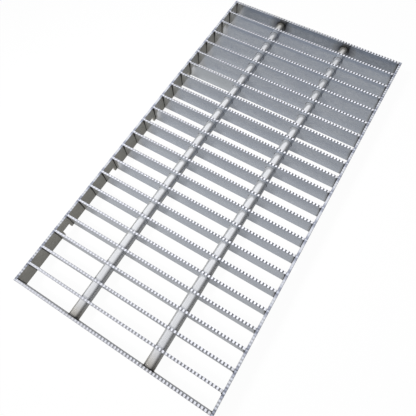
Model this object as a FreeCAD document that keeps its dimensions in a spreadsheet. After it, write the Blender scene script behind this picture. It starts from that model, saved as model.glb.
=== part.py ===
"""Trench grating: toothed flat bars on two round rods, framed by two side bars.

+X runs across the trench, +Y along it from the near end to the far end, +Z is up,
and the origin lies under the middle of the grating, where it rests.
"""
import FreeCAD
import Part
import Sketcher
import math
import os

# Driving sizes in millimetres, and counts
SIZES = {
    "bar_length": 250.0,          # cross bars, cut to fit between the side bars
    "bar_depth": 25.0,            # height of every flat bar
    "bar_thickness": 3.0,
    "bar_pitch": 22.5,            # from one cross bar to the next
    "bar_count": 23,              # cross bars, with the two end bars
    "tooth_pitch": 4.0,
    "tooth_depth": 1.2,
    "side_bar_thickness": 3.0,
    "notch_length": 12.0,
    "notch_height": 9.0,
    "notch_first_gap": 4,         # gap with the first notch, counted from the near end
    "notch_gap_step": 4,          # gaps from one notch to the next
    "rod_diameter": 13.0,
    "rod_spacing": 99.0,          # between the axes of the two rods
    "rod_height": 12.5,           # rod axes above the bottom edge of the bars
    "rod_hole_clearance": 0.2,    # between a rod and the flats of its hole, on the diameter
}

# Sizes that follow from the driving ones, as expressions
BAR_SPAN = "((Sizes.bar_count - 1) * Sizes.bar_pitch)"
TOOTH_COUNT = "floor(Sizes.bar_length / Sizes.tooth_pitch)"
NOTCH_COUNT = "(floor((Sizes.bar_count - 1 - Sizes.notch_first_gap) / Sizes.notch_gap_step) + 1)"
SIDE_BAR_PLACE = "((Sizes.bar_length + Sizes.side_bar_thickness) / 2)"
ROD_HOLE_WIDTH = "(Sizes.rod_diameter + Sizes.rod_hole_clearance)"

HOLE_SIDES = 12                   # flats of a punched rod hole
ROD_COUNT = 2
VOLUME_TOLERANCE = 1e-6           # relative difference allowed from a volume worked out by hand
ORIGIN = (-1, 1)                  # a sketch's own origin as (edge, end)

doc = FreeCAD.newDocument("trench_grating")


def fill_sheet():
    """Put every driving size in a cell that has the size's name as its alias."""
    sheet = doc.addObject("Spreadsheet::Sheet", "Sizes")
    for row, (name, value) in enumerate(SIZES.items(), start=1):
        sheet.set(f"A{row}", name)
        sheet.set(f"B{row}", str(value))
        sheet.setAlias(f"B{row}", name)
    doc.recompute()


def new_body(label):
    """An empty body whose label names its piece."""
    body = doc.addObject("PartDesign::Body", label)
    body.Label = label
    return body


def new_sketch(body, plane_role, name):
    """A sketch on one of the body's own origin planes."""
    sketch = body.newObject("Sketcher::SketchObject", name)
    plane = next(item for item in body.Origin.OriginFeatures if item.Role == plane_role)
    sketch.AttachmentSupport = (plane, [""])
    sketch.MapMode = "FlatFace"
    return sketch


def add_outline(sketch, corners):
    """Closed outline of straight edges; edge i starts at corner i."""
    points = [FreeCAD.Vector(across, up, 0) for across, up in corners]
    count = len(points)
    for edge in range(count):
        sketch.addGeometry(Part.LineSegment(points[edge], points[(edge + 1) % count]), False)
    for edge in range(count):
        sketch.addConstraint(Sketcher.Constraint("Coincident", edge, 2, (edge + 1) % count, 1))


def square_up(sketch):
    """Make the first and third edges of a four-edge outline level and the others upright."""
    for level, upright in ((0, 1), (2, 3)):
        sketch.addConstraint(Sketcher.Constraint("Horizontal", level))
        sketch.addConstraint(Sketcher.Constraint("Vertical", upright))


def bind(sketch, index, name, expression):
    """Name a dimension and bind it to an expression."""
    sketch.renameConstraint(index, name)
    sketch.setExpression(f"Constraints.{name}", expression)


def set_size(sketch, kind, first, second, name, expression):
    """Dimension from one point to another, each given as (edge, end), bound to an expression."""
    distance = sketch.getPoint(*second) - sketch.getPoint(*first)
    value = distance.x if kind == "DistanceX" else distance.y
    index = sketch.addConstraint(Sketcher.Constraint(kind, *first, *second, value))
    bind(sketch, index, name, expression)


def flat_bar(body, plane_role, length, thickness):
    """Plain flat bar standing on its edge, centred over the body's origin."""
    outline = new_sketch(body, plane_role, "Outline")
    add_outline(outline, [(-50, 0), (50, 0), (50, 20), (-50, 20)])
    square_up(outline)
    outline.addConstraint(Sketcher.Constraint("Symmetric", 0, 1, 0, 2, *ORIGIN))
    set_size(outline, "DistanceX", (0, 1), (0, 2), "length", length)
    set_size(outline, "DistanceY", (1, 1), (1, 2), "depth", "Sizes.bar_depth")
    pad = body.newObject("PartDesign::Pad", "Bar")
    pad.Profile = outline
    pad.SideType = "Symmetric"
    pad.setExpression("Length", thickness)
    doc.recompute()


def cut_through(body, sketch, name, thickness):
    """Cut a sketch right through a bar of the given thickness, from its middle plane both ways."""
    pocket = body.newObject("PartDesign::Pocket", name)
    pocket.Profile = sketch
    pocket.SideType = "Symmetric"
    pocket.setExpression("Length", f"2 * {thickness}")
    doc.recompute()
    return pocket


def repeat_along(body, feature, sketch, name, spacing, count):
    """Repeat a cut along the level axis of its sketch."""
    pattern = body.newObject("PartDesign::LinearPattern", name)
    pattern.Originals = [feature]
    pattern.Direction = (sketch, ["H_Axis"])
    pattern.Mode = "Spacing"
    pattern.setExpression("Offset", spacing)
    pattern.setExpression("Occurrences", count)
    body.Tip = pattern
    doc.recompute()


def cut_teeth(body):
    """Row of V grooves along the top edge; neighbours meet in the tooth tips, at the full depth."""
    groove = new_sketch(body, "XZ_Plane", "ToothGroove")
    add_outline(groove, [(-40, 18), (-36, 22), (-44, 22)])
    groove.addConstraint(Sketcher.Constraint("Horizontal", 1))
    first_groove = f"({TOOTH_COUNT} - 1) / 2 * Sizes.tooth_pitch"
    set_size(groove, "DistanceX", (0, 1), ORIGIN, "first_groove", first_groove)
    set_size(groove, "DistanceY", ORIGIN, (0, 1), "groove_floor", "Sizes.bar_depth - Sizes.tooth_depth")
    set_size(groove, "DistanceY", (0, 1), (0, 2), "cutter_height", "2 * Sizes.tooth_depth")
    set_size(groove, "DistanceX", (0, 1), (0, 2), "right_flank", "Sizes.tooth_pitch")
    set_size(groove, "DistanceX", (2, 1), (0, 1), "left_flank", "Sizes.tooth_pitch")
    cut = cut_through(body, groove, "ToothCut", "Sizes.bar_thickness")
    repeat_along(body, cut, groove, "Teeth", "Sizes.tooth_pitch", TOOTH_COUNT)


def punch_rod_holes(body):
    """Holes with a few flats that lie close round the rods."""
    hole = new_sketch(body, "XZ_Plane", "RodHole")
    centre_across, centre_up, radius = -30, 10, 5
    turns = [2 * math.pi * (corner - 0.5) / HOLE_SIDES - math.pi / 2 for corner in range(HOLE_SIDES)]
    add_outline(hole, [(centre_across + radius * math.cos(turn), centre_up + radius * math.sin(turn))
                       for turn in turns])
    middle = FreeCAD.Vector(centre_across, centre_up, 0)
    corner_circle = hole.addGeometry(Part.Circle(middle, FreeCAD.Vector(0, 0, 1), radius), True)
    for edge in range(HOLE_SIDES):
        hole.addConstraint(Sketcher.Constraint("PointOnObject", edge, 1, corner_circle))
    for edge in range(1, HOLE_SIDES):
        hole.addConstraint(Sketcher.Constraint("Equal", 0, edge))
    hole.addConstraint(Sketcher.Constraint("Horizontal", 0))
    across_corners = hole.addConstraint(Sketcher.Constraint("Diameter", corner_circle, 2 * radius))
    bind(hole, across_corners, "across_corners", f"{ROD_HOLE_WIDTH} / cos(180 deg / {HOLE_SIDES})")
    set_size(hole, "DistanceX", (corner_circle, 3), ORIGIN, "left_hole", "Sizes.rod_spacing / 2")
    set_size(hole, "DistanceY", ORIGIN, (corner_circle, 3), "hole_height", "Sizes.rod_height")
    cut = cut_through(body, hole, "RodHoleCut", "Sizes.bar_thickness")
    repeat_along(body, cut, hole, "RodHoles", "Sizes.rod_spacing", str(ROD_COUNT))


def cut_notches(body):
    """Square notches in the bottom edge of a side bar, each in the middle of a gap between cross bars."""
    notch = new_sketch(body, "YZ_Plane", "Notch")
    add_outline(notch, [(-40, -5), (-30, -5), (-30, 5), (-40, 5)])
    square_up(notch)
    first_middle = f"({BAR_SPAN} / 2 - (Sizes.notch_first_gap - 0.5) * Sizes.bar_pitch)"
    set_size(notch, "DistanceX", (0, 1), ORIGIN, "near_end", f"{first_middle} + Sizes.notch_length / 2")
    set_size(notch, "DistanceX", (0, 1), (0, 2), "length", "Sizes.notch_length")
    set_size(notch, "DistanceY", (0, 1), ORIGIN, "below_edge", "Sizes.notch_height")
    set_size(notch, "DistanceY", ORIGIN, (2, 1), "above_edge", "Sizes.notch_height")
    cut = cut_through(body, notch, "NotchCut", "Sizes.side_bar_thickness")
    repeat_along(body, cut, notch, "Notches", "Sizes.notch_gap_step * Sizes.bar_pitch", NOTCH_COUNT)


def copy_of(body, label):
    """The same piece again, as a link with a place of its own."""
    link = doc.addObject("App::Link", label)
    link.LinkedObject = body
    link.Label = label
    return link


def place(piece, axis, expression):
    """Bind one coordinate of a piece's place."""
    piece.setExpression(f"Placement.Base.{axis}", expression)


def cross_bar_place(number):
    """Place along the grating of a cross bar, counted from 0 at the near end."""
    return f"{number} * Sizes.bar_pitch - {BAR_SPAN} / 2"


def make_cross_bars(count):
    """Toothed bars with rod holes, one for each place between the end bars."""
    first = new_body("cross_bar_01")
    flat_bar(first, "XZ_Plane", "Sizes.bar_length", "Sizes.bar_thickness")
    cut_teeth(first)
    punch_rod_holes(first)
    bars = [first] + [copy_of(first, f"cross_bar_{number:02d}") for number in range(2, count - 1)]
    for number, bar in enumerate(bars, start=1):
        place(bar, "y", cross_bar_place(number))
    return bars


def make_end_bars(count):
    """Toothed bars without holes that close the two ends; the rods butt against them."""
    near = new_body("near_end_bar")
    flat_bar(near, "XZ_Plane", "Sizes.bar_length", "Sizes.bar_thickness")
    cut_teeth(near)
    far = copy_of(near, "far_end_bar")
    place(near, "y", cross_bar_place(0))
    place(far, "y", cross_bar_place(count - 1))
    return [near, far]


def make_side_bars():
    """Notched flat bars along both long sides, over the full length."""
    left = new_body("left_side_bar")
    flat_bar(left, "YZ_Plane", f"{BAR_SPAN} + Sizes.bar_thickness", "Sizes.side_bar_thickness")
    cut_notches(left)
    right = copy_of(left, "right_side_bar")
    place(left, "x", f"-{SIDE_BAR_PLACE}")
    place(right, "x", SIDE_BAR_PLACE)
    return [left, right]


def make_rods():
    """Round rods through the cross bars, from the inner face of one end bar to the other."""
    rods = []
    for label, side in (("left_rod", -1), ("right_rod", 1)):
        rod = doc.addObject("Part::Cylinder", label)
        rod.Label = label
        rod.setExpression("Radius", "Sizes.rod_diameter / 2")
        rod.setExpression("Height", f"{BAR_SPAN} - Sizes.bar_thickness")
        rod.Placement.Rotation = FreeCAD.Rotation(FreeCAD.Vector(1, 0, 0), -90)
        place(rod, "x", f"{side} * Sizes.rod_spacing / 2")
        place(rod, "y", f"-({BAR_SPAN} - Sizes.bar_thickness) / 2")
        place(rod, "z", "Sizes.rod_height")
        rods.append(rod)
    return rods


def cross_bar_volume(size):
    """Face of a cross bar less its grooves and holes, times its thickness."""
    teeth = math.floor(size["bar_length"] / size["tooth_pitch"])
    groove = size["tooth_pitch"] * size["tooth_depth"] / 2
    hole_width = size["rod_diameter"] + size["rod_hole_clearance"]
    hole = HOLE_SIDES / 4 * hole_width ** 2 * math.tan(math.pi / HOLE_SIDES)
    face = size["bar_length"] * size["bar_depth"] - teeth * groove - ROD_COUNT * hole
    return face * size["bar_thickness"]


def side_bar_volume(size):
    """Face of a side bar less its notches, times its thickness."""
    gaps = size["bar_count"] - 1
    length = gaps * size["bar_pitch"] + size["bar_thickness"]
    notches = (gaps - size["notch_first_gap"]) // size["notch_gap_step"] + 1
    face = length * size["bar_depth"] - notches * size["notch_length"] * size["notch_height"]
    return face * size["side_bar_thickness"]


def compare(piece, volume):
    """Stop if a cut took away nothing or too much."""
    found = Part.getShape(piece).Volume
    if abs(found - volume) > VOLUME_TOLERANCE * volume:
        raise RuntimeError(f"{piece.Label}: volume {found:.3f}, expected {volume:.3f}")


def check(pieces):
    """Stop if a feature failed or a piece is not one sound solid."""
    for item in doc.Objects:
        if {"Invalid", "Error"} & set(item.State):
            raise RuntimeError(f"{item.Label} failed: {item.State}")
    for piece in pieces:
        shape = Part.getShape(piece)
        if shape.isNull() or not shape.isValid() or len(shape.Solids) != 1:
            raise RuntimeError(f"{piece.Label} is not one sound solid")


fill_sheet()
sizes = {name: doc.Sizes.get(name) for name in SIZES}
bar_count = int(sizes["bar_count"])
cross_bars = make_cross_bars(bar_count)
end_bars = make_end_bars(bar_count)
side_bars = make_side_bars()
rods = make_rods()
doc.recompute()
all_pieces = cross_bars + end_bars + side_bars + rods
check(all_pieces)
compare(cross_bars[0], cross_bar_volume(sizes))
compare(side_bars[0], side_bar_volume(sizes))

os.makedirs("parts", exist_ok=True)
for piece in all_pieces:
    Part.getShape(piece).exportStep(f"parts/{piece.Label}.step")
print(f"{len(all_pieces)} pieces written")
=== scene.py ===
"""Looks of a trench grating: toothed flat bars on two round rods, between two notched side bars.

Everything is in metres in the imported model's frame: +X across the trench, +Y along it, +Z up.
"""

import math

import bpy
import mathutils
import numpy as np
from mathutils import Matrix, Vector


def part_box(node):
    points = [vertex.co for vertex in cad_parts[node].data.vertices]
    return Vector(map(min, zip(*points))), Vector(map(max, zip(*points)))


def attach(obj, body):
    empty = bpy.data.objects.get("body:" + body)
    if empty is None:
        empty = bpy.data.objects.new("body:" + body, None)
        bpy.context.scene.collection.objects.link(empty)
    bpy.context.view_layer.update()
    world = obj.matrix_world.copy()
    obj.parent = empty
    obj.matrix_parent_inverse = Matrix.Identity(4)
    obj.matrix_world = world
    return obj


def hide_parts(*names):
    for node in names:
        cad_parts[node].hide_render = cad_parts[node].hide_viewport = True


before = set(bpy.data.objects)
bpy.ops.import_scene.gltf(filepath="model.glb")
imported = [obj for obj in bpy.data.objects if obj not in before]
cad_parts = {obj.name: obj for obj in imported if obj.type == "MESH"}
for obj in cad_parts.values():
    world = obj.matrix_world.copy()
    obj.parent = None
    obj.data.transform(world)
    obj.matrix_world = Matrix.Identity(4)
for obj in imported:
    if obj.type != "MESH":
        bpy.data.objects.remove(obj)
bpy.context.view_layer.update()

MM = 0.001

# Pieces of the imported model
CROSS_BARS = sorted(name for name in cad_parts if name.startswith("cross_bar_"))
END_BARS = ["near_end_bar", "far_end_bar"]
SIDE_BARS = ["left_side_bar", "right_side_bar"]
RODS = ["left_rod", "right_rod"]

# Sizes of the flat bars
EDGE_RADIUS = 0.4 * MM            # rolled edges of the stock
EDGE_STEPS = 2                    # facets in a quarter round
TOOTH_PITCH = 4.0 * MM
TOOTH_DEPTH = 1.2 * MM
TOOTH_LAND = 0.2 * MM             # flat tip of a tooth
GROOVE_FLOOR = 0.1 * MM           # flat bottom of a groove
SIDE_TEETH_PER_GAP = 6            # teeth of a side bar between two cross bars
SIDE_TOOTH_DEPTH = 0.2 * MM
NOTCH_LENGTH = 12.0 * MM
NOTCH_HEIGHT = 9.0 * MM
NOTCH_DRAFT = 0.05 * MM           # slope of a notch's upright walls
NOTCH_GAPS = (4, 8, 12, 16, 20)   # gaps between cross bars that have a notch, from the near end
HOLE_CLEARANCE = 0.1 * MM         # between a rod and its hole
HOLE_STEPS = 20                   # facets in half a hole
HOLE_SHUT = 0.01 * MM             # a hole that opens less than this is shut there
STATION_DIGITS = 8                # decimals of a metre that tell two stations apart
RATIO_DIGITS = 6                  # decimals that count when teeth are fitted to a length

# Sizes of the rods
ROD_SIDES = 96
ROD_CHAMFER = 0.4 * MM
SMOOTH_ANGLE = math.radians(40)   # round pieces keep their sharp edges past this

# Sizes of the welds
WELD_RIPPLE = 1.3 * MM            # spacing of the ripples in a weld
WELD_SINK = 0.3 * MM              # how far a weld reaches into the pieces that it joins
WELD_BULGE = 1.4                  # 1 is a full quarter round, 2 a flat fillet
WELD_SIDES = 7                    # points across the face of a weld
GOLDEN_TURN = 2.399963            # radians; gives every weld a rhythm of its own
END_WELD_LEG = 1.8 * MM           # fillets in the corners between cross bars and side bars, at the top
END_WELD_FOOT = 0.35              # the same further down, as a share of the top
END_WELD_CROWN = 4                # power with which it widens on the way up
END_WELD_BOTTOM = 0.6 * MM        # height at which it starts
END_WELD_DROP = 0.4 * MM          # how far under the grooves it ends
END_WELD_TAPER = 0.06             # share of its length that tapers at each end
END_WELD_TIP = 0.25               # leg at the very ends, as a share
END_WELD_STEPS = 40
END_WELD_SWELL = (0.9, 0.14, 0.1)     # even leg, ripples and slow wander, as shares
END_WELD_WANDER = 5 * WELD_RIPPLE     # length of the slow wander, for a turn of one radian
END_WELD_SHIFT = 3                # how much further the wander shifts from weld to weld than the ripples
ROD_WELD_LEG = 0.8 * MM           # fillets round the rods, at the end bars
ROD_WELD_STEPS = 48
ROD_WELD_SWELL = (0.85, 0.12, 0.12)   # even leg, ripples and slow wander, as shares

# Pattern of the steel. Real rolling and drawing lines are some hundredths of a millimetre wide, too
# fine to show, so each finish has them one to two millimetres wide.
GRAIN_SHARE = 0.6                 # weight of the lines against the clouds
GRAIN_BUMP = 0.04
GRAIN_HEIGHT = 0.02 * MM
LONG_GRAIN = 3                    # millimetres; lines longer than this run along the piece there
LONG_CLOUD = 60 * MM              # clouds of the pickling along the lines
SHORT_CLOUD = 16 * MM             # and across them
NOISE_DETAIL = 3.0
NOISE_SPAN = (0.3, 0.7)           # range that the noise mostly keeps to
SHADE_SPAN = (0.25, 0.75)         # noise at the dark and at the light colour
ROUGHNESS_SWING = 0.05
TINT_WANDER = 0.8 * MM            # how far the edge of a weld's temper colours wanders
MARK_FADE = 3.0                   # how much faster a rod weld's marks fade through an end bar than along it
CUT_EDGE_DEPTH = 1.5 * MM         # bright cut metal along a toothed edge
CUT_EDGE_RISE = (0.2, 0.5)        # upward share of the normal where the cut metal starts and is full
CUT_EDGE_ROUGHNESS = 0.18
CUT_EDGE_METALLIC = 0.95

# Floor and light
FLOOR_REACH = 12.0
FLOOR_SEEN_WHITE = 0.97           # share of white in the floor that the camera sees, the rest takes shadow
FLOOR_MIRRORED_WHITE = 0.32       # the same in mirrors: metal in the photo shows a mid-grey floor
SKY_GLOW = (1.38, 0.16)           # mirrored sky overhead and on the left, and low on the right
SKY_GLOW_EDGE = (0.37, 1.02)      # where the one passes into the other, as a lean to the right
SKY_GLOW_SKEW = 0.35              # how much the far end adds to that lean
SKY_NEAR = (-0.5, 0.3, 0.3)       # near end: dimmest at the first Y, full at the second, dimmed to the third
SKY_FAR = (0.58, 1.0, 0.2)        # far end: full at the first Y, dimmest at the second, dimmed to the third
SKY_FILL = 0.22                   # sky as plain fill light
LAMP_PLACE = (-0.7, -0.55, 1.05)
LAMP_AIM = (-0.06, -0.03, 0)
LAMP_SIZE = 0.4
LAMP_POWER = 2.2
LAMP_SPREAD = math.radians(43)

# Camera, fitted to the photo with the real sizes
CAMERA_PLACE = (122.75 * MM, -221.94 * MM, 449.47 * MM)
CAMERA_TURN = (24.398, 2.790, 31.548)   # degrees about X, Y and Z
CAMERA_LENS = 34.645                    # millimetres on the sensor
CAMERA_SENSOR = 36.0
CAMERA_SHIFT = (0.01666, -0.00498)
CAMERA_NEAREST = 10 * MM


def middle_of(node):
    """Middle of a node's box as an array."""
    low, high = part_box(node)
    return (np.array(low) + np.array(high)) / 2


def size_of(node):
    """Lengths of a node's box along X, Y and Z."""
    low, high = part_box(node)
    return np.array(high) - np.array(low)


BAR_LENGTH, BAR_THICKNESS, BAR_DEPTH = size_of("cross_bar_01")
SIDE_THICKNESS, SIDE_LENGTH, SIDE_DEPTH = size_of("left_side_bar")
ROD_DIAMETER, ROD_LENGTH, _ = size_of("left_rod")
ROD_AXES = [middle_of(rod)[[0, 2]] for rod in RODS]
BAR_PLACES = np.array([middle_of(bar)[1] for bar in ["near_end_bar", *CROSS_BARS, "far_end_bar"]])
BAR_PITCH = BAR_PLACES[1] - BAR_PLACES[0]


def add_piece(name, points, face_groups, material, nodes=(), smooth=False):
    """Mesh object at the origin that rides on the grating and stands for its CAD nodes."""
    mesh = bpy.data.meshes.new(name)
    corners = np.concatenate([faces.ravel() for faces in face_groups])
    counts = np.concatenate([np.full(len(faces), faces.shape[1]) for faces in face_groups])
    starts = np.concatenate([[0], np.cumsum(counts)[:-1]])
    mesh.vertices.add(len(points))
    mesh.vertices.foreach_set("co", np.asarray(points, np.float32).ravel())
    mesh.loops.add(len(corners))
    mesh.loops.foreach_set("vertex_index", corners.astype(np.int32))
    mesh.polygons.add(len(counts))
    mesh.polygons.foreach_set("loop_start", starts.astype(np.int32))
    mesh.polygons.foreach_set("use_smooth", np.full(len(counts), smooth))
    mesh.update(calc_edges=True)
    mesh.validate()
    if smooth:
        mesh.set_sharp_from_angle(angle=SMOOTH_ANGLE)
    mesh.materials.append(material)
    piece = bpy.data.objects.new(name, mesh)
    bpy.context.scene.collection.objects.link(piece)
    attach(piece, "root")
    if nodes:
        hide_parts(*nodes)


def whole_number(ratio):
    """Whole number at or under a ratio, past the noise in its last digits."""
    return math.floor(round(ratio, RATIO_DIGITS))


def merged(*stations):
    """Stations of several lists in order, each once."""
    return np.unique(np.round(np.concatenate(stations), STATION_DIGITS))


def toothed_edge(centres, pitch, depth, top):
    """Stations along a toothed edge and the heights there.

    The height is a trapezium wave: round each centre a narrow floor, then a straight flank up to
    half a land on either side.
    """
    wide = (pitch - TOOTH_LAND) / 2
    narrow = GROOVE_FLOOR / 2
    stations = (centres[:, None] + np.array([-wide, -narrow, narrow, wide])).ravel()
    heights = np.tile([top, top - depth, top - depth, top], len(centres))
    return stations, heights


def end_stations(length):
    """Stations of the quarter rounds at both ends of a bar."""
    turn = np.linspace(0, math.pi / 2, EDGE_STEPS + 1)
    reach = length / 2 - EDGE_RADIUS + EDGE_RADIUS * np.sin(turn)
    return np.concatenate([-reach, reach])


def end_inset(along, length):
    """How far the section draws in at each station: a quarter round of the edge radius at both ends."""
    past = np.clip(np.abs(along) - (length / 2 - EDGE_RADIUS), 0, EDGE_RADIUS)
    return EDGE_RADIUS - np.sqrt(EDGE_RADIUS ** 2 - past ** 2)


def hole_half_height(along, centres, radius):
    """Half the opening of round holes at each station: the height of a circle over its middle."""
    if not centres:
        return np.zeros_like(along)
    gap = np.abs(along[:, None] - np.array(centres)).min(axis=1)
    height = np.sqrt(np.clip(radius ** 2 - gap ** 2, 0, None))
    return np.where(height < HOLE_SHUT, 0, height)


def bar_skin(along, low, high, half, seam, opening):
    """Closed skin of a flat bar on edge: a rounded section carried along the bar.

    At each station the section is a rectangle from low to high, twice half wide, with quarter-round
    edges. A seam runs along both faces, and opens by opening up and down where a hole goes through.
    Returns points as (along, across, up) and groups of faces.
    """
    count = len(along)
    turn = np.linspace(0, math.pi / 2, EDGE_STEPS + 1)
    sine = EDGE_RADIUS * np.sin(turn)
    cosine = EDGE_RADIUS * np.cos(turn)
    side = half[:, None]
    inner = side - EDGE_RADIUS
    lower = (low + EDGE_RADIUS)[:, None]
    upper = (high - EDGE_RADIUS)[:, None]
    seam_low = (seam - opening)[:, None]
    seam_high = (seam + opening)[:, None]
    across = np.hstack([-inner - sine, -side, -side, -inner - cosine,
                        inner + sine, side, side, inner + cosine])
    up = np.hstack([lower - cosine, seam_low, seam_high, upper + sine,
                    upper + cosine, seam_high, seam_low, lower - sine])
    points = np.stack([np.broadcast_to(along[:, None], up.shape), across, up], axis=2).reshape(-1, 3)

    # Where the seam is shut, its two points are one
    sides = up.shape[1]
    index = np.arange(count * sides).reshape(count, sides)
    front_low, front_high = EDGE_STEPS + 1, EDGE_STEPS + 2
    back_high, back_low = sides - EDGE_STEPS - 3, sides - EDGE_STEPS - 2
    shut = opening == 0
    index[shut, front_high] = index[shut, front_low]
    index[shut, back_high] = index[shut, back_low]

    # Skin round the bar without the seams, floor and roof of each hole, and a cap at each end
    ahead = np.roll(index, -1, axis=1)
    skin = np.stack([index[:-1], index[1:], ahead[1:], ahead[:-1]], axis=2)
    skin = np.delete(skin, [front_low, back_high], axis=1).reshape(-1, 4)
    spans = np.flatnonzero(~shut[:-1] | ~shut[1:])
    floor = np.stack([index[spans, front_low], index[spans + 1, front_low],
                      index[spans + 1, back_low], index[spans, back_low]], axis=1)
    roof = np.stack([index[spans, front_high], index[spans, back_high],
                     index[spans + 1, back_high], index[spans + 1, front_high]], axis=1)
    quads = np.concatenate([skin, floor, roof])
    first_cap = np.delete(index[0], [front_high, back_high])[None]
    last_cap = np.delete(index[-1], [front_high, back_high])[None, ::-1]
    return keep_used(points, [quads, first_cap, last_cap])


def keep_used(points, face_groups):
    """Drop the points that no face uses."""
    used = np.unique(np.concatenate([faces.ravel() for faces in face_groups]))
    place = np.zeros(len(points), int)
    place[used] = np.arange(len(used))
    return points[used], [place[faces] for faces in face_groups]


def cross_bar_skin(hole_places):
    """Toothed bar along X; round holes open at hole_places. Teeth fill the length in whole pitches."""
    teeth = whole_number(BAR_LENGTH / TOOTH_PITCH)
    centres = (np.arange(teeth) - (teeth - 1) / 2) * TOOTH_PITCH
    tooth_at, tooth_height = toothed_edge(centres, TOOTH_PITCH, TOOTH_DEPTH, BAR_DEPTH)
    radius = ROD_DIAMETER / 2 + HOLE_CLEARANCE
    swing = radius * np.cos(np.linspace(0, math.pi, HOLE_STEPS + 1))
    along = merged(tooth_at, end_stations(BAR_LENGTH), *[place + swing for place in hole_places])
    inset = end_inset(along, BAR_LENGTH)
    high = np.interp(along, tooth_at, tooth_height) - inset
    opening = hole_half_height(along, hole_places, radius)
    seam = np.full_like(along, ROD_AXES[0][1])
    return bar_skin(along, inset, high, BAR_THICKNESS / 2 - inset, seam, opening)


def side_bar_skin():
    """Toothed bar along Y with square notches in its bottom edge, which rises in a step at each notch."""
    pitch = BAR_PITCH / SIDE_TEETH_PER_GAP
    reach = whole_number(SIDE_LENGTH / 2 / pitch)
    centres = np.arange(-reach, reach + 1) * pitch
    tooth_at, tooth_height = toothed_edge(centres, pitch, SIDE_TOOTH_DEPTH, SIDE_DEPTH)
    middles = BAR_PLACES[0] + (np.array(NOTCH_GAPS) - 0.5) * BAR_PITCH
    half = NOTCH_LENGTH / 2
    steps = np.array([-half, NOTCH_DRAFT - half, half - NOTCH_DRAFT, half])
    notch_at = (middles[:, None] + steps).ravel()
    notch_height = np.tile([0, NOTCH_HEIGHT, NOTCH_HEIGHT, 0], len(middles))
    inside = np.abs(tooth_at) < SIDE_LENGTH / 2 - EDGE_RADIUS
    along = merged(tooth_at[inside], notch_at, end_stations(SIDE_LENGTH))
    inset = end_inset(along, SIDE_LENGTH)
    high = np.interp(along, tooth_at, tooth_height) - inset
    low = np.interp(along, notch_at, notch_height) + inset
    shut = np.zeros_like(along)
    return bar_skin(along, low, high, SIDE_THICKNESS / 2 - inset, (low + high) / 2, shut)


def tube_faces(tubes, steps, sides, ring=False):
    """Faces of several closed tubes, each a grid of steps along by sides round it.

    A ring also joins its last step to its first; other tubes get a flat cap at each end.
    """
    index = np.arange(tubes * steps * sides).reshape(tubes, steps, sides)
    along = np.concatenate([index, index[:, :1]], axis=1) if ring else index
    ahead = np.roll(along, -1, axis=2)
    quads = np.stack([along[:, :-1], along[:, 1:], ahead[:, 1:], ahead[:, :-1]], axis=3).reshape(-1, 4)
    return [quads] if ring else [quads, index[:, 0], index[:, -1, ::-1]]


def rod_skin():
    """Round rod along Y: a radius at each place along the axis, carried round it, with chamfered ends."""
    half = ROD_LENGTH / 2
    axial = np.array([-half, -half + ROD_CHAMFER, half - ROD_CHAMFER, half])
    radius = ROD_DIAMETER / 2 - np.array([ROD_CHAMFER, 0, 0, ROD_CHAMFER])
    turn = np.linspace(0, 2 * math.pi, ROD_SIDES, endpoint=False)
    points = np.stack([radius[:, None] * np.sin(turn),
                       np.broadcast_to(axial[:, None], (len(axial), ROD_SIDES)),
                       radius[:, None] * np.cos(turn)], axis=2)
    return points.reshape(-1, 3), tube_faces(1, len(axial), ROD_SIDES)


def weld_profile():
    """Face of a fillet weld from one leg to the other: powers of cosine and sine, with the root behind it."""
    turn = np.linspace(0, math.pi / 2, WELD_SIDES)
    first = np.append(np.cos(turn) ** WELD_BULGE, 0)
    second = np.append(np.sin(turn) ** WELD_BULGE, 0)
    return first, second


def weld_offsets(leg, facing):
    """Offsets of a weld's profile off both pieces, at every step of every weld: the profile times the leg.

    facing is 1 or -1 for each weld; -1 swaps the legs, so that every weld is wound the same way.
    """
    first, second = weld_profile()
    ahead = facing[:, None] > 0
    off_one = np.where(ahead, first, second)[:, None, :] * leg[:, :, None]
    off_other = np.where(ahead, second, first)[:, None, :] * leg[:, :, None]
    return off_one, off_other


def end_weld_skin(side):
    """Upright fillets where the cross bars meet a side bar: the weld's profile carried up each corner.

    Each bar is welded on its near face, and the near end bar on its inner one. The leg ripples on the
    way up, is widest near the top and tapers off at both ends.
    """
    wall = side * BAR_LENGTH / 2
    facing = np.where(BAR_PLACES == BAR_PLACES[0], 1, -1)
    corner = BAR_PLACES + facing * BAR_THICKNESS / 2
    share = np.linspace(0, 1, END_WELD_STEPS)
    top = BAR_DEPTH - TOOTH_DEPTH - END_WELD_DROP
    height = END_WELD_BOTTOM + (top - END_WELD_BOTTOM) * share
    phase = GOLDEN_TURN * np.arange(len(corner))[:, None]
    even, rippled, wandering = END_WELD_SWELL
    ripple = np.abs(np.sin(math.pi * height / WELD_RIPPLE + phase))
    wander = np.sin(height / END_WELD_WANDER + END_WELD_SHIFT * phase)
    swell = even + rippled * ripple + wandering * wander
    widening = END_WELD_FOOT + (1 - END_WELD_FOOT) * share ** END_WELD_CROWN
    taper = np.sqrt(np.clip(np.minimum(share, 1 - share) / END_WELD_TAPER, 0, 1))
    leg = END_WELD_LEG * swell * widening * (END_WELD_TIP + (1 - END_WELD_TIP) * taper)
    off_side, off_bar = weld_offsets(leg, facing * side)
    x = wall - side * off_side
    y = corner[:, None, None] + facing[:, None, None] * off_bar
    x[:, :, -1] += side * WELD_SINK
    y[:, :, -1] -= facing[:, None] * WELD_SINK
    z = np.broadcast_to(height[None, :, None], x.shape)
    points = np.stack([x, y, z], axis=3).reshape(-1, 3)
    return points, tube_faces(*x.shape)


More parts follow.
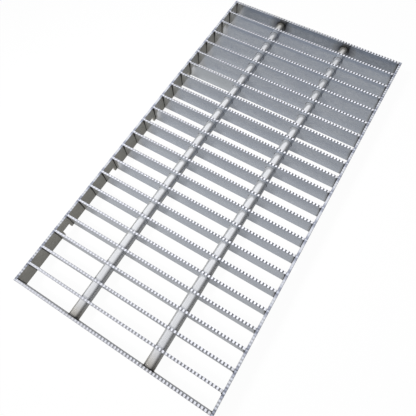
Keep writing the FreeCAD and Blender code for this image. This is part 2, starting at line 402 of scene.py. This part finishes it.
def rod_weld_skin(axis):
    """Fillets round a rod where it butts against the end bars: the weld's profile carried round the rod."""
    facing = np.array([1, -1])
    wall = BAR_PLACES[[0, -1]] + facing * BAR_THICKNESS / 2
    turn = np.linspace(0, 2 * math.pi, ROD_WELD_STEPS, endpoint=False)
    phase = GOLDEN_TURN * np.arange(len(wall))[:, None]
    ripples = round(math.pi * ROD_DIAMETER / WELD_RIPPLE)
    even, rippled, wandering = ROD_WELD_SWELL
    ripple = np.abs(np.sin(ripples / 2 * turn + phase))
    leg = ROD_WELD_LEG * (even + rippled * ripple + wandering * np.sin(turn + phase))
    off_rod, off_bar = weld_offsets(leg, facing)
    radius = ROD_DIAMETER / 2 + off_rod
    y = wall[:, None, None] + facing[:, None, None] * off_bar
    radius[:, :, -1] -= WELD_SINK
    y[:, :, -1] -= facing[:, None] * WELD_SINK
    x = axis[0] + radius * np.sin(turn)[None, :, None]
    z = axis[1] + radius * np.cos(turn)[None, :, None]
    points = np.stack([x, y, z], axis=3).reshape(-1, 3)
    return points, tube_faces(*x.shape, ring=True)


def linear(code):
    """Linear RGBA of an sRGB hex colour."""
    share = np.array([int(code[start:start + 2], 16) for start in (1, 3, 5)]) / 255
    value = np.where(share <= 0.04045, share / 12.92, ((share + 0.055) / 1.055) ** 2.4)
    return (*value.tolist(), 1.0)


def add_node(tree, kind, settings=None, inputs=None):
    """Add a node, set its properties, and set or link its inputs."""
    node = tree.nodes.new(kind)
    for name, value in (settings or {}).items():
        setattr(node, name, value)
    for name, value in (inputs or {}).items():
        if isinstance(value, bpy.types.NodeSocket):
            tree.links.new(value, node.inputs[name])
        else:
            node.inputs[name].default_value = value
    return node


def new_material(name):
    """Empty node material with its output node."""
    material = bpy.data.materials.new(name)
    material.use_nodes = True
    material.node_tree.nodes.clear()
    return material, material.node_tree, add_node(material.node_tree, "ShaderNodeOutputMaterial")


def gap_to_right_end(tree, part):
    """Distance of a point on a cross bar from the bar's right end."""
    return add_node(tree, "ShaderNodeMath", {"operation": "SUBTRACT"},
                    {0: BAR_LENGTH / 2, 1: part.outputs["X"]}).outputs["Value"]


def gap_to_left_end(tree, part):
    """Distance of a point on a cross bar from the bar's left end."""
    return add_node(tree, "ShaderNodeMath", {"operation": "ADD"},
                    {0: BAR_LENGTH / 2, 1: part.outputs["X"]}).outputs["Value"]


def gap_to_rods(tree, part):
    """Distance of a point on a bar's face from the skin of the nearer rod.

    On an end bar the depth under its inner face is added several times over, so that the marks of the
    rod's weld come through paler on the outer face.
    """
    reach = add_node(tree, "ShaderNodeMath", {"operation": "ABSOLUTE"}, {0: part.outputs["X"]})
    aside = add_node(tree, "ShaderNodeMath", {"operation": "SUBTRACT"},
                     {0: reach.outputs["Value"], 1: ROD_AXES[1][0]})
    above = add_node(tree, "ShaderNodeMath", {"operation": "SUBTRACT"},
                     {0: part.outputs["Z"], 1: ROD_AXES[1][1]})
    offset = add_node(tree, "ShaderNodeCombineXYZ", None,
                      {"X": aside.outputs["Value"], "Z": above.outputs["Value"]})
    span = add_node(tree, "ShaderNodeVectorMath", {"operation": "LENGTH"}, {0: offset.outputs["Vector"]})
    gap = add_node(tree, "ShaderNodeMath", {"operation": "SUBTRACT"},
                   {0: span.outputs["Value"], 1: ROD_DIAMETER / 2})
    outside = add_node(tree, "ShaderNodeMath", {"operation": "MAXIMUM"}, {0: gap.outputs["Value"], 1: 0.0})
    along = add_node(tree, "ShaderNodeMath", {"operation": "ABSOLUTE"}, {0: part.outputs["Y"]})
    past_rod = add_node(tree, "ShaderNodeMath", {"operation": "SUBTRACT"},
                        {0: along.outputs["Value"], 1: ROD_LENGTH / 2})
    depth = add_node(tree, "ShaderNodeMath", {"operation": "MAXIMUM"}, {0: past_rod.outputs["Value"], 1: 0.0})
    return add_node(tree, "ShaderNodeMath", {"operation": "MULTIPLY_ADD"},
                    {0: depth.outputs["Value"], 1: MARK_FADE, 2: outside.outputs["Value"]}).outputs["Value"]


def gap_to_rod_ends(tree, part):
    """Distance of a point on a rod from the rod's nearer end."""
    along = add_node(tree, "ShaderNodeMath", {"operation": "ABSOLUTE"}, {0: part.outputs["Y"]})
    return add_node(tree, "ShaderNodeMath", {"operation": "SUBTRACT"},
                    {0: ROD_LENGTH / 2, 1: along.outputs["Value"]}).outputs["Value"]


def gap_to_bars(tree, part):
    """Distance of a point on a side bar from the nearest cross bar's middle."""
    offset = add_node(tree, "ShaderNodeMath", {"operation": "SUBTRACT"},
                      {0: part.outputs["Y"], 1: BAR_PLACES[0]})
    turn = add_node(tree, "ShaderNodeMath", {"operation": "WRAP"},
                    {0: offset.outputs["Value"], 1: BAR_PITCH / 2, 2: -BAR_PITCH / 2})
    return add_node(tree, "ShaderNodeMath", {"operation": "ABSOLUTE"},
                    {0: turn.outputs["Value"]}).outputs["Value"]


# Marks on the steel: what the distance is measured from, how much of the wander it takes, and stops of
# a distance in millimetres, a colour and how far it covers
END_TINT = (gap_to_right_end, 1.0, [(0, "#34322f", 0.6), (1.2, "#6b675a", 0.35), (3.5, "#a9a184", 0.0)])
ROD_WELD_TINT = (gap_to_rods, 0.0, [(0, "#2c2c2e", 0.9), (1.5, "#4a4b50", 0.7), (5, "#6c6b6c", 0.45),
                                    (12, "#b0a68c", 0.0)])
# Painted shade: a dark ring in the crevice round each rod hole, darkest at the rod, with some crevice dirt in
# it.
HOLE_RING = (gap_to_rods, 0.0, [(0, "#26282b", 0.85), (0.35, "#34363a", 0.6), (0.7, "#8a8e96", 0.0)])
ROD_END_TINT = (gap_to_rod_ends, 1.0, [(0, "#4b453b", 0.8), (2.5, "#7d745f", 0.6), (8, "#a39a86", 0.4),
                                       (20, "#bdb8ac", 0.0)])
SIDE_EDGE_TINT = (gap_to_bars, 1.0, [(0, "#d4d7de", 0.3), (1.5, "#6e717c", 0.72), (5, "#8c8e98", 0.6),
                                     (7, "#c6c5c4", 0.3), (11, "#d2d0ca", 0.5)])
PALE_PANEL = (gap_to_left_end, 1.0, [(0, "#f3f8fd", 0.95), (68, "#f2f7fc", 0.95), (76, "#ecf1f9", 0.0)])
# Painted light: the left ends of the cross bars' faces are painted paler, to offset the mirror image of the
# side bar and its shade on them.
BLANCHED_END = (gap_to_left_end, 1.0, [(0, "#ffffff", 0.85), (7, "#fcfdff", 0.75), (15, "#e4e9f0", 0.0)])


def marked(tree, part, wander, mark, colour):
    """Colour with a mark over it, such as the temper colours of a weld or a patch of painted light or shade,
    faded by distance.
    """
    distance_from, wander_share, stops = mark
    gap = add_node(tree, "ShaderNodeMath", {"operation": "MULTIPLY_ADD"},
                   {0: wander, 1: wander_share, 2: distance_from(tree, part)})
    reach = stops[-1][0] * MM
    share = add_node(tree, "ShaderNodeMapRange", None,
                     {"Value": gap.outputs["Value"], "From Min": 0.0, "From Max": reach,
                      "To Min": 0.0, "To Max": 1.0})
    temper = add_node(tree, "ShaderNodeValToRGB", None, {"Fac": share.outputs["Result"]})
    ramp = temper.color_ramp.elements
    ramp.remove(ramp[1])
    for number, (distance, code, cover) in enumerate(stops):
        stop = ramp[0] if number == 0 else ramp.new(distance * MM / reach)
        stop.color = (*linear(code)[:3], cover)
    return add_node(tree, "ShaderNodeMix", {"data_type": "RGBA"},
                    {"Factor": temper.outputs["Alpha"], "A": colour,
                     "B": temper.outputs["Color"]}).outputs["Result"]


def cut_edge_share(tree, part):
    """1 on the upward faces of a toothed edge and 0 elsewhere: the height times the rise of the normal."""
    upper = add_node(tree, "ShaderNodeMath", {"operation": "GREATER_THAN"},
                     {0: part.outputs["Z"], 1: BAR_DEPTH - CUT_EDGE_DEPTH})
    normal = add_node(tree, "ShaderNodeNewGeometry").outputs["Normal"]
    facing = add_node(tree, "ShaderNodeSeparateXYZ", None, {"Vector": normal})
    start, full = CUT_EDGE_RISE
    return add_node(tree, "ShaderNodeMapRange", None,
                    {"Value": facing.outputs["Z"], "From Min": start, "From Max": full,
                     "To Min": 0.0, "To Max": upper.outputs["Value"]}).outputs["Result"]


def steel(name, dark, light, roughness, metallic, grain, cut_edge=None, patches=(), tints=(), edge_tints=()):
    """Stainless steel, clouded by pickling, with fine lines along its rolling or drawing direction.

    grain is the size of the lines along X, Y and Z in millimetres. cut_edge is the colour of the
    toothed top edge. patches are marks under the cut edge, tints lie over everything, and edge_tints
    on the cut edge alone.
    """
    material, tree, output = new_material(name)
    place = add_node(tree, "ShaderNodeTexCoord").outputs["Object"]
    part = add_node(tree, "ShaderNodeSeparateXYZ", None, {"Vector": place})

    # Lines and clouds, and the shade that both give
    clouding = [LONG_CLOUD if length > LONG_GRAIN else SHORT_CLOUD for length in grain]
    lines_at = add_node(tree, "ShaderNodeMapping", None,
                        {"Vector": place, "Scale": [1 / (length * MM) for length in grain]})
    lines = add_node(tree, "ShaderNodeTexNoise", None,
                     {"Vector": lines_at.outputs["Vector"], "Scale": 1.0, "Detail": NOISE_DETAIL})
    clouds_at = add_node(tree, "ShaderNodeMapping", None,
                         {"Vector": place, "Scale": [1 / length for length in clouding]})
    clouds = add_node(tree, "ShaderNodeTexNoise", None,
                      {"Vector": clouds_at.outputs["Vector"], "Scale": 1.0, "Detail": NOISE_DETAIL})
    mixed = add_node(tree, "ShaderNodeMix", {"data_type": "FLOAT"},
                     {"Factor": GRAIN_SHARE, "A": clouds.outputs["Fac"], "B": lines.outputs["Fac"]})
    shade = add_node(tree, "ShaderNodeValToRGB", None, {"Fac": mixed.outputs["Result"]})
    for stop, position, code in zip(shade.color_ramp.elements, SHADE_SPAN, (dark, light)):
        stop.position = position
        stop.color = linear(code)
    colour = shade.outputs["Color"]

    # Roughness follows the shade, and the edges of the marks follow the clouds
    noise_low, noise_high = NOISE_SPAN
    rough = add_node(tree, "ShaderNodeMapRange", None,
                     {"Value": mixed.outputs["Result"], "From Min": noise_low, "From Max": noise_high,
                      "To Min": roughness + ROUGHNESS_SWING,
                      "To Max": roughness - ROUGHNESS_SWING}).outputs["Result"]
    wander = add_node(tree, "ShaderNodeMapRange", None,
                      {"Value": clouds.outputs["Fac"], "From Min": noise_low, "From Max": noise_high,
                       "To Min": -TINT_WANDER, "To Max": TINT_WANDER}).outputs["Result"]

    # Marks and the cut edge, one over the other
    for mark in patches:
        colour = marked(tree, part, wander, mark, colour)
    if cut_edge:
        cut = cut_edge_share(tree, part)
        edge_colour = linear(cut_edge)
        for mark in edge_tints:
            edge_colour = marked(tree, part, wander, mark, edge_colour)
        colour = add_node(tree, "ShaderNodeMix", {"data_type": "RGBA"},
                          {"Factor": cut, "A": colour, "B": edge_colour}).outputs["Result"]
        metallic = add_node(tree, "ShaderNodeMapRange", None,
                            {"Value": cut, "From Min": 0.0, "From Max": 1.0, "To Min": metallic,
                             "To Max": CUT_EDGE_METALLIC}).outputs["Result"]
        rough = add_node(tree, "ShaderNodeMapRange", None,
                         {"Value": cut, "From Min": 0.0, "From Max": 1.0, "To Min": rough,
                          "To Max": CUT_EDGE_ROUGHNESS}).outputs["Result"]
    for mark in tints:
        colour = marked(tree, part, wander, mark, colour)

    bump = add_node(tree, "ShaderNodeBump", None,
                    {"Height": lines.outputs["Fac"], "Strength": GRAIN_BUMP, "Distance": GRAIN_HEIGHT})
    shader = add_node(tree, "ShaderNodeBsdfPrincipled", None,
                      {"Base Color": colour, "Metallic": metallic,
                       "Roughness": rough, "Normal": bump.outputs["Normal"]})
    tree.links.new(shader.outputs["BSDF"], output.inputs["Surface"])
    return material


def white_floor():
    """Matt white studio floor that a camera sees as paper white, with a trace of shadow."""
    material, tree, output = new_material("matt_white_floor")
    path = add_node(tree, "ShaderNodeLightPath")
    seen = path.outputs["Is Camera Ray"]
    mirrored = add_node(tree, "ShaderNodeMath", {"operation": "MAXIMUM"},
                        {0: path.outputs["Is Glossy Ray"], 1: path.outputs["Is Transmission Ray"]})
    mirrored_share = add_node(tree, "ShaderNodeMath", {"operation": "MULTIPLY"},
                              {0: mirrored.outputs["Value"], 1: FLOOR_MIRRORED_WHITE})
    white_share = add_node(tree, "ShaderNodeMath", {"operation": "MULTIPLY_ADD"},
                           {0: seen, 1: FLOOR_SEEN_WHITE, 2: mirrored_share.outputs["Value"]})
    tone = add_node(tree, "ShaderNodeMix", {"data_type": "RGBA"},
                    {"Factor": seen, "A": linear("#606060"), "B": linear("#f2f2f2")})
    matt = add_node(tree, "ShaderNodeBsdfDiffuse", None, {"Color": tone.outputs["Result"]})
    white = add_node(tree, "ShaderNodeEmission", None, {"Color": linear("#ffffff"), "Strength": 1.0})
    both = add_node(tree, "ShaderNodeMixShader", None,
                    {0: white_share.outputs["Value"], 1: matt.outputs["BSDF"], 2: white.outputs["Emission"]})
    tree.links.new(both.outputs["Shader"], output.inputs["Surface"])
    return material


def build_cross_bars():
    """Toothed bars across the trench, with their rod holes, and those that close the ends."""
    # Pickled stainless flat bar: a cool grey gloss that mirrors the rods and the floor, with bright cut
    # teeth, dark rings of painted crevice shade with some crevice dirt round the rod holes, left ends painted
    # paler as painted light against the mirrored side bar, and heat marks at the welded right ends.
    gloss = {"roughness": 0.16, "metallic": 0.93, "grain": (4.5, 1.6, 1.8), "cut_edge": "#f3f3f4"}
    bar_steel = steel("pickled_bar_steel", "#cfd7e5", "#f3f8ff", **gloss,
                      patches=[BLANCHED_END], tints=[END_TINT, HOLE_RING])
    # The same with one section pickled paler, which shows as a light grey panel.
    pale_steel = steel("pickled_pale_bar_steel", "#cfd7e5", "#f3f8ff", **gloss,
                       patches=[PALE_PANEL, BLANCHED_END], tints=[END_TINT, HOLE_RING])
    # The same painted darker: a shaded copy of it, painted shade on both end bars, with smoky heat marks
    # round the welds of the rods.
    end_steel = steel("pickled_end_bar_steel_shaded_copy", "#a6adb8", "#d4dae3", **gloss,
                      patches=[BLANCHED_END], tints=[END_TINT, ROD_WELD_TINT])
    finishes = {"cross_bar_16": pale_steel, "near_end_bar": end_steel, "far_end_bar": end_steel}
    holed = cross_bar_skin([axis[0] for axis in ROD_AXES])
    plain = cross_bar_skin([])
    for node in CROSS_BARS + END_BARS:
        points, faces = holed if node in CROSS_BARS else plain
        add_piece(node.replace("bar", "toothed_bar"), points + [0, middle_of(node)[1], 0], faces,
                  finishes.get(node, bar_steel), [node])


def build_side_bars():
    """Toothed and notched bars along the trench."""
    # Pickled stainless flat bar: duller than the cross bars, with a warm tone that is painted reflection of
    # the warm light on its shaded inner faces, and grey temper on its top edge beside every cross bar.
    side_steel = steel("pickled_side_bar_steel", "#b7b5ab", "#d1cec4", roughness=0.3, metallic=0.72,
                       grain=(1.3, 4, 1.5), cut_edge="#c4c7cc", edge_tints=[SIDE_EDGE_TINT])
    points, faces = side_bar_skin()
    for node in SIDE_BARS:
        turned = np.stack([middle_of(node)[0] - points[:, 1], points[:, 0], points[:, 2]], axis=1)
        add_piece(node.replace("bar", "toothed_bar"), turned, faces, side_steel, [node])


def build_rods():
    """Round rods through the bars."""
    # Drawn stainless rod: half bright, so that it takes a broad soft highlight, with faint lines along it
    # and straw-brown heat marks at its welded ends.
    rod_steel = steel("drawn_rod_steel", "#c1c1bf", "#d9d9d7", roughness=0.2, metallic=0.72,
                      grain=(1.0, 80, 1.0), tints=[ROD_END_TINT])
    points, faces = rod_skin()
    for node in RODS:
        add_piece(node.replace("rod", "round_rod"), points + middle_of(node), faces,
                  rod_steel, [node], smooth=True)


def build_welds():
    """Fillet welds at the ends of the bars and of the rods."""
    # Weld metal as laid: dull with scale, its dark colour partly painted shade for the corners it fills; fine
    # spots of light on its ripples.
    weld_steel = steel("weld_metal_and_corner_shade", "#33322f", "#5c5a55", roughness=0.4, metallic=1.0,
                       grain=(0.8, 0.8, 0.8))
    for side, word in ((-1, "left"), (1, "right")):
        points, faces = end_weld_skin(side)
        add_piece(f"{word}_end_welds", points, faces, weld_steel, smooth=True)
    for axis, word in zip(ROD_AXES, ("left", "right")):
        points, faces = rod_weld_skin(axis)
        add_piece(f"{word}_rod_welds", points, faces, weld_steel, smooth=True)


def build_floor():
    """Large level floor under the grating."""
    mesh = bpy.data.meshes.new("floor")
    corners = [(-FLOOR_REACH, -FLOOR_REACH, 0), (FLOOR_REACH, -FLOOR_REACH, 0),
               (FLOOR_REACH, FLOOR_REACH, 0), (-FLOOR_REACH, FLOOR_REACH, 0)]
    mesh.from_pydata(corners, [], [(0, 1, 2, 3)])
    mesh.materials.append(white_floor())
    floor = bpy.data.objects.new("floor", mesh)
    bpy.context.scene.collection.objects.link(floor)


def build_world():
    """Soft sky, white to the camera.

    Metal mirrors it bright overhead and on the left, dim on the right, and dimmer low over both ends.
    The lean to the right is the X share of a direction seen along Y.
    """
    world = bpy.data.worlds.new("studio")
    bpy.context.scene.world = world
    world.use_nodes = True
    tree = world.node_tree
    tree.nodes.clear()
    direction = add_node(tree, "ShaderNodeTexCoord").outputs["Generated"]
    part = add_node(tree, "ShaderNodeSeparateXYZ", None, {"Vector": direction})
    flat = add_node(tree, "ShaderNodeVectorMath", {"operation": "MULTIPLY"}, {0: direction, 1: (1, 0, 1)})
    turned = add_node(tree, "ShaderNodeVectorMath", {"operation": "NORMALIZE"}, {0: flat.outputs["Vector"]})
    rightness = add_node(tree, "ShaderNodeSeparateXYZ", None, {"Vector": turned.outputs["Vector"]})
    leaning = add_node(tree, "ShaderNodeMath", {"operation": "MULTIPLY_ADD"},
                       {0: part.outputs["Y"], 1: SKY_GLOW_SKEW, 2: rightness.outputs["X"]})
    glow = add_node(tree, "ShaderNodeMapRange", {"interpolation_type": "SMOOTHSTEP"},
                    {"Value": leaning.outputs["Value"],
                     "From Min": SKY_GLOW_EDGE[0], "From Max": SKY_GLOW_EDGE[1],
                     "To Min": SKY_GLOW[0], "To Max": SKY_GLOW[1]})
    near_fade = add_node(tree, "ShaderNodeMapRange", {"interpolation_type": "SMOOTHSTEP"},
                         {"Value": part.outputs["Y"], "From Min": SKY_NEAR[0], "From Max": SKY_NEAR[1],
                          "To Min": SKY_NEAR[2], "To Max": 1.0})
    far_fade = add_node(tree, "ShaderNodeMapRange", {"interpolation_type": "SMOOTHSTEP"},
                        {"Value": part.outputs["Y"], "From Min": SKY_FAR[0], "From Max": SKY_FAR[1],
                         "To Min": 1.0, "To Max": SKY_FAR[2]})
    fade = add_node(tree, "ShaderNodeMath", {"operation": "MULTIPLY"},
                    {0: near_fade.outputs["Result"], 1: far_fade.outputs["Result"]})
    mirrored = add_node(tree, "ShaderNodeMath", {"operation": "MULTIPLY"},
                        {0: glow.outputs["Result"], 1: fade.outputs["Value"]})
    path = add_node(tree, "ShaderNodeLightPath")
    strength = add_node(tree, "ShaderNodeMapRange", None,
                        {"Value": path.outputs["Is Glossy Ray"], "From Min": 0.0, "From Max": 1.0,
                         "To Min": SKY_FILL, "To Max": mirrored.outputs["Value"]})
    sky = add_node(tree, "ShaderNodeBackground", None,
                   {"Color": linear("#f4f6ff"), "Strength": strength.outputs["Result"]})
    white = add_node(tree, "ShaderNodeBackground", None, {"Color": linear("#ffffff"), "Strength": 1.0})
    both = add_node(tree, "ShaderNodeMixShader", None,
                    {0: path.outputs["Is Camera Ray"], 1: sky.outputs["Background"],
                     2: white.outputs["Background"]})
    output = add_node(tree, "ShaderNodeOutputWorld")
    tree.links.new(both.outputs["Shader"], output.inputs["Surface"])


def build_lamp():
    """Softbox over the near left corner, aimed just short of the grating's middle."""
    light = bpy.data.lights.new("softbox", "AREA")
    light.shape = "DISK"
    light.size = LAMP_SIZE
    light.energy = LAMP_POWER
    light.spread = LAMP_SPREAD
    lamp = bpy.data.objects.new("softbox", light)
    lamp.location = LAMP_PLACE
    aim = mathutils.Vector(LAMP_AIM) - lamp.location
    lamp.rotation_euler = aim.to_track_quat("-Z", "Y").to_euler()
    lamp.visible_glossy = False
    bpy.context.scene.collection.objects.link(lamp)


def build_camera():
    """Camera at the photo's place, fitted to the grating's corners and bar edges."""
    data = bpy.data.cameras.new("camera")
    data.lens = CAMERA_LENS
    data.sensor_width = CAMERA_SENSOR
    data.shift_x, data.shift_y = CAMERA_SHIFT
    data.clip_start = CAMERA_NEAREST
    camera = bpy.data.objects.new("camera", data)
    camera.location = CAMERA_PLACE
    camera.rotation_euler = [math.radians(angle) for angle in CAMERA_TURN]
    bpy.context.scene.collection.objects.link(camera)
    bpy.context.scene.camera = camera


build_cross_bars()
build_side_bars()
build_rods()
build_welds()
build_floor()
build_world()
build_lamp()
build_camera()
bpy.context.scene.view_settings.view_transform = "Standard"
